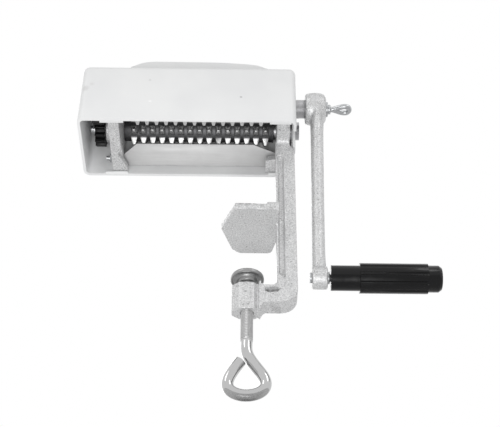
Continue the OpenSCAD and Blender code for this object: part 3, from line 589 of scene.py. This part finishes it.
def make_clamp_screw():
    """A threaded rod whose lower end is bent into a finger loop, and the peened neck in the pad."""
    pitch, crest, root = 1.5, 4.9, 3.95
    top = -56.8
    steps, count = 8, 48
    rows = round((top - THREAD_END) / pitch * steps)
    rings = []
    for k in range(rows + 1):
        z = top - k * pitch / steps
        ring = []
        for i in range(count):
            turn = i / count
            wave = abs(2 * ((z / pitch - turn) % 1.0) - 1)
            fade = min(1.0, (z - THREAD_END) / (2 * pitch), (top - z) / pitch)
            r = crest - (crest - root) * fade * min(1.0, max(0.0, 1.25 * wave - 0.12)) - 0.3 * (1 - fade)
            ring.append(Vector((r * math.cos(math.tau * turn), r * math.sin(math.tau * turn), z)) * MM)
        rings.append(ring)
    bm = bmesh.new()
    loft(bm, rings)
    turned(bm, Vector((0, 0, 0)), [(-58, 3.0), (-51.9, 3.0), (-51.88, 4.5), (-50.9, 4.2)], "Z", 32)
    tube(bm, smooth_path([Vector((x, 0, z)) * MM for x, z in LOOP_PATH]), 4.6 * MM, 40)
    bmesh.ops.recalc_face_normals(bm, faces=bm.faces)
    obj = mesh_piece("wire_clamp_screw", bm)
    smooth_by_angle(obj.data, 35)
    place_piece(obj, "clamp_screw")


def round_throat(bm):
    """Rounds the sloping shoulders of the feed throat, seen from the front as broad curves."""
    low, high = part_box("hood")
    foot, top = 162 * MM, high.z
    rim = top - 9 * MM
    heights = {}
    for v in bm.verts:
        if v.co.z > rim:
            x = round(v.co.x, 5)
            heights[x] = max(heights.get(x, 0), v.co.z)
    known = sorted(heights.items())
    start, end = known[0][0], known[-1][0]

    def outline(x):
        x = min(max(x, start), end)
        for (xa, za), (xb, zb) in zip(known, known[1:]):
            if x <= xb:
                return za + (zb - za) * (x - xa) / (xb - xa)
        return known[-1][1]

    slices = 60
    for k in range(1, slices):
        x = start + (end - start) * k / slices
        faces = [f for f in bm.faces if max(v.co.z for v in f.verts) > rim]
        parts = faces + [e for f in faces for e in f.edges] + [v for f in faces for v in f.verts]
        bmesh.ops.bisect_plane(bm, geom=list(dict.fromkeys(parts)), plane_co=(x, 0, 0), plane_no=(1, 0, 0),
                               dist=1e-6)
    # each point sinks to the mean of the outline about it, which falls off past both ends
    width, fall, half = 9 * MM, 5 * MM, 6
    for v in bm.verts:
        if v.co.z > foot:
            x = v.co.x
            about = [x + width * (i / half - 1) for i in range(2 * half + 1)]
            wanted = sum(outline(a) - (fall if not start < a < end else 0) for a in about) / len(about)
            v.co.z -= (outline(x) - wanted) * (v.co.z - foot) / (outline(x) - foot)


def make_hood():
    bm = bmesh.new()
    add_solid(bm, "hood")
    bmesh.ops.dissolve_limit(bm, angle_limit=math.radians(0.6), verts=bm.verts, edges=bm.edges)
    round_throat(bm)
    obj = mesh_piece("moulded_hood", bm)
    bevel = obj.modifiers.new("ease", "BEVEL")
    bevel.width = 0.6 * MM
    bevel.segments = 2
    bevel.limit_method = "ANGLE"
    bevel.angle_limit = math.radians(28)
    apply_modifiers(obj)
    smooth_by_angle(obj.data, 40)
    place_piece(obj, "hood")


# how far each plain node's edges are eased, in metres
EASED = {
    "front_guide_plate": 0.25 * MM,
    "back_guide_plate": 0.25 * MM,
    "grip": 0.45 * MM,
    "front_roller": 0.2 * MM,
    "back_roller": 0.2 * MM,
    "front_gear": 0.3 * MM,
    "back_gear": 0.3 * MM,
    "front_shaft": 0.4 * MM,
    "back_shaft": 0.5 * MM,
    "crank_washer": 0.3 * MM,
    "grip_pin": 0.4 * MM,
}
MADE = {
    "hood": make_hood,
    "clamp_frame": make_clamp_frame,
    "gear_end_plate": make_gear_end_plate,
    "crank_arm": make_crank_arm,
    "eye_screw": make_eye_screw,
    "clamp_screw": make_clamp_screw,
    "clamp_pad": make_clamp_pad,
}
for name in list(frame["nodes"]):
    if name in MADE:
        MADE[name]()
    elif name in EASED:
        eased(name, EASED[name])
    else:
        finish_node(name)


# ---------------------------------------------------------------- stage

def stage_floor(level):
    """A pale floor that can only be seen from above, so that the view from below looks past it."""
    bm = bmesh.new()
    bmesh.ops.create_grid(bm, x_segments=1, y_segments=1, size=3)
    floor = mesh_piece("floor", bm)
    floor.location.z = level
    n = Nodes("floor")
    path = n.add("ShaderNodeLightPath")
    below = n.add("ShaderNodeNewGeometry").outputs["Backfacing"]
    hidden = n.add("ShaderNodeMath", {0: below, 1: path.outputs["Is Shadow Ray"]},
                   operation="MAXIMUM").outputs[0]
    matte = n.add("ShaderNodeBsdfDiffuse", {"Color": (0.86, 0.86, 0.86, 1)}).outputs[0]
    clear = n.add("ShaderNodeBsdfTransparent").outputs[0]
    shown = n.add("ShaderNodeMixShader", {0: hidden, 1: matte, 2: clear}).outputs[0]
    n.add("ShaderNodeOutputMaterial", {"Surface": shown})
    floor.data.materials.append(n.material)


def stage_world(level):
    """White behind the object and in its reflections, and a soft even light of the given level."""
    world = bpy.data.worlds.new("studio")
    world.use_nodes = True
    bpy.context.scene.world = world
    tree = world.node_tree
    tree.nodes.clear()

    def add(kind, inputs=(), **settings):
        node = tree.nodes.new(kind)
        for key, value in settings.items():
            setattr(node, key, value)
        for key, value in dict(inputs).items():
            if isinstance(value, bpy.types.NodeSocket):
                tree.links.new(value, node.inputs[key])
            else:
                node.inputs[key].default_value = value
        return node

    path = add("ShaderNodeLightPath")
    seen = path.outputs["Is Camera Ray"]
    for kind in ("Is Glossy Ray", "Is Transmission Ray"):
        seen = add("ShaderNodeMath", {0: seen, 1: path.outputs[kind]}, operation="MAXIMUM").outputs[0]
    strength = add("ShaderNodeMix", {"Factor": seen, "A": level, "B": 1.0}).outputs[0]
    sky = add("ShaderNodeBackground", {"Color": (1, 1, 1, 1), "Strength": strength})
    add("ShaderNodeOutputWorld", {"Surface": sky.outputs["Background"]})


def area_light(name, place, size, watts):
    """A round lamp that points at the middle of the machine."""
    light = bpy.data.lights.new(name, "AREA")
    light.shape = "DISK"
    light.size = size
    light.energy = watts
    obj = bpy.data.objects.new(name, light)
    obj.location = place
    obj.rotation_euler = (MIDDLE - place).to_track_quat("-Z", "Y").to_euler()
    bpy.context.scene.collection.objects.link(obj)


def stage_camera():
    """The photograph's camera: in front of the machine and below it, looking up at 41 degrees.

    Its place, look direction and roll come from a fit to the hood's edges and both roller axes.
    """
    data = bpy.data.cameras.new("photo_camera")
    data.sensor_width = 36
    data.lens = 85
    data.clip_start = 0.01
    obj = bpy.data.objects.new("photo_camera", data)
    bpy.context.scene.collection.objects.link(obj)
    place = Vector((-0.8, -753.4, -631.7)) * MM
    roll = 0.008
    right = LOOK.cross(Vector((0, 0, 1))).normalized()
    up = right.cross(LOOK)
    tilted_right = (right + up * roll).normalized()
    tilted_up = tilted_right.cross(LOOK)
    turn = Matrix((tilted_right, tilted_up, -LOOK)).transposed().to_4x4()
    obj.matrix_world = Matrix.Translation(place) @ turn
    bpy.context.scene.camera = obj


LOOK = Vector((0.0026, 0.757, 0.653)).normalized()
MIDDLE = Vector((-0.02, 0, 0.04))
# name, place, size in metres, watts
LIGHTS = [
    ("key", MIDDLE + 1.4 * Vector((-0.09, -0.60, -0.79)), 0.7, 8.5),
    ("left", MIDDLE + 1.5 * Vector((-0.55, -0.62, 0.56)), 0.5, 1.6),
    ("right", MIDDLE + 1.5 * Vector((0.55, -0.62, 0.56)), 0.5, 1.6),
    ("back", Vector((-0.6, 1.2, 0.9)), 1.2, 5),
]
stage_floor(cad_box[0][2] - 0.2 * MM)
stage_world(0.62)
for name, place, size, watts in LIGHTS:
    area_light(name, place, size, watts)
stage_camera()

bpy.context.scene.view_settings.view_transform = "Standard"
